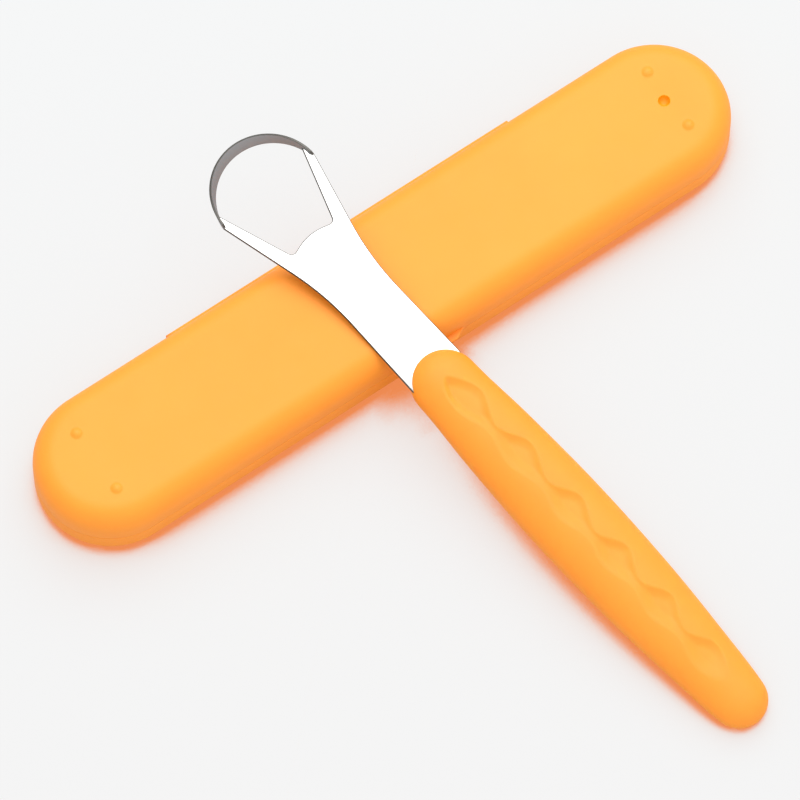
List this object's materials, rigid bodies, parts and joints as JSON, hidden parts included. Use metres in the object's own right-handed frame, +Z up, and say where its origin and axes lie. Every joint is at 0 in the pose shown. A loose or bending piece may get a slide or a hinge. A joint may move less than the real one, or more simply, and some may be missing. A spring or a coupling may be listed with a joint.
{
  "type": "tongue scraper with travel case",
  "caption": "Loop tongue scraper with a moulded grip and a steel blade, leaning on its slim hinged travel case with rounded ends.",
  "frame": {"origin": "middle of the face that the closed case rests on", "axes": "+X along the case, +Y across it towards its hinge, +Z up"},
  "size_m": [0.16, 0.1514, 0.0224],
  "materials": {
    "case_plastic": "satin moulded, orange",
    "grip_plastic": "satin moulded, orange",
    "blade_steel": "polished stainless sheet"
  },
  "bodies": {
    "case_base": {"lower_shell": "case_plastic", "hinge_web": "case_plastic"},
    "case_lid": {"upper_shell": "case_plastic"},
    "scraper": {"steel_blade": "blade_steel", "handle": "grip_plastic"}
  },
  "joints": [
    {"name": "lid_hinge", "type": "hinge", "parent": "case_base", "child": "case_lid", "pos_m": [0, 0.01701, 0.0078], "axis": [-1, 0, 0], "range_deg": [0, 180], "deforming": ["hinge_web"]},
    {"name": "scraper_lift", "type": "slide", "parent": "case_base", "child": "scraper", "axis": [0, 0, 1], "range_m": [0, 0.16]}
  ],
  "couplings": [
    {"joint": "scraper_lift", "follows": "lid_hinge", "m_per_rad": 0.05}
  ]
}
